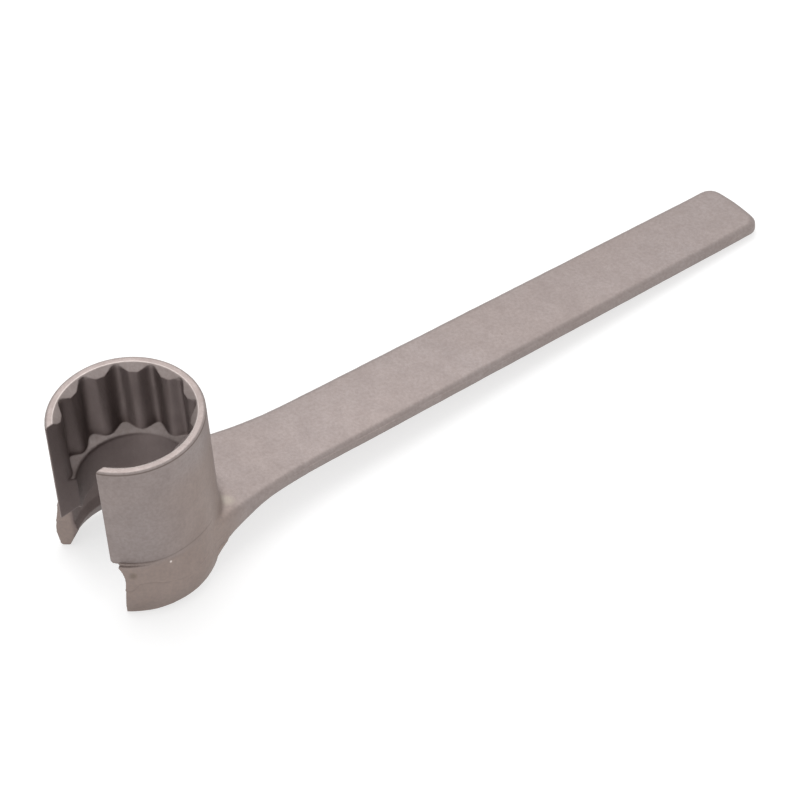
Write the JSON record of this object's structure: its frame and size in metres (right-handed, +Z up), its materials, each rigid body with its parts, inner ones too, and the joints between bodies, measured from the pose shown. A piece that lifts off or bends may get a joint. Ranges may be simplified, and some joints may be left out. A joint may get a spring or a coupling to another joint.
{
  "type": "regulator removal tool",
  "caption": "Slotted ring spanner in one piece: a tall multi-point socket barrel, open down one side, on a forged ring, with a flat handle that slopes away from the mouth.",
  "frame": {"origin": "on the barrel's axis, at the ring's bottom face", "axes": "+Z up the barrel's axis to its open mouth, +X out along the handle, so the slot opens to -X"},
  "size_m": [0.2237, 0.0424, 0.0729],
  "materials": {
    "steel": "blasted, satin"
  },
  "bodies": {
    "root": {"regulator_wrench": "steel"}
  },
  "joints": []
}
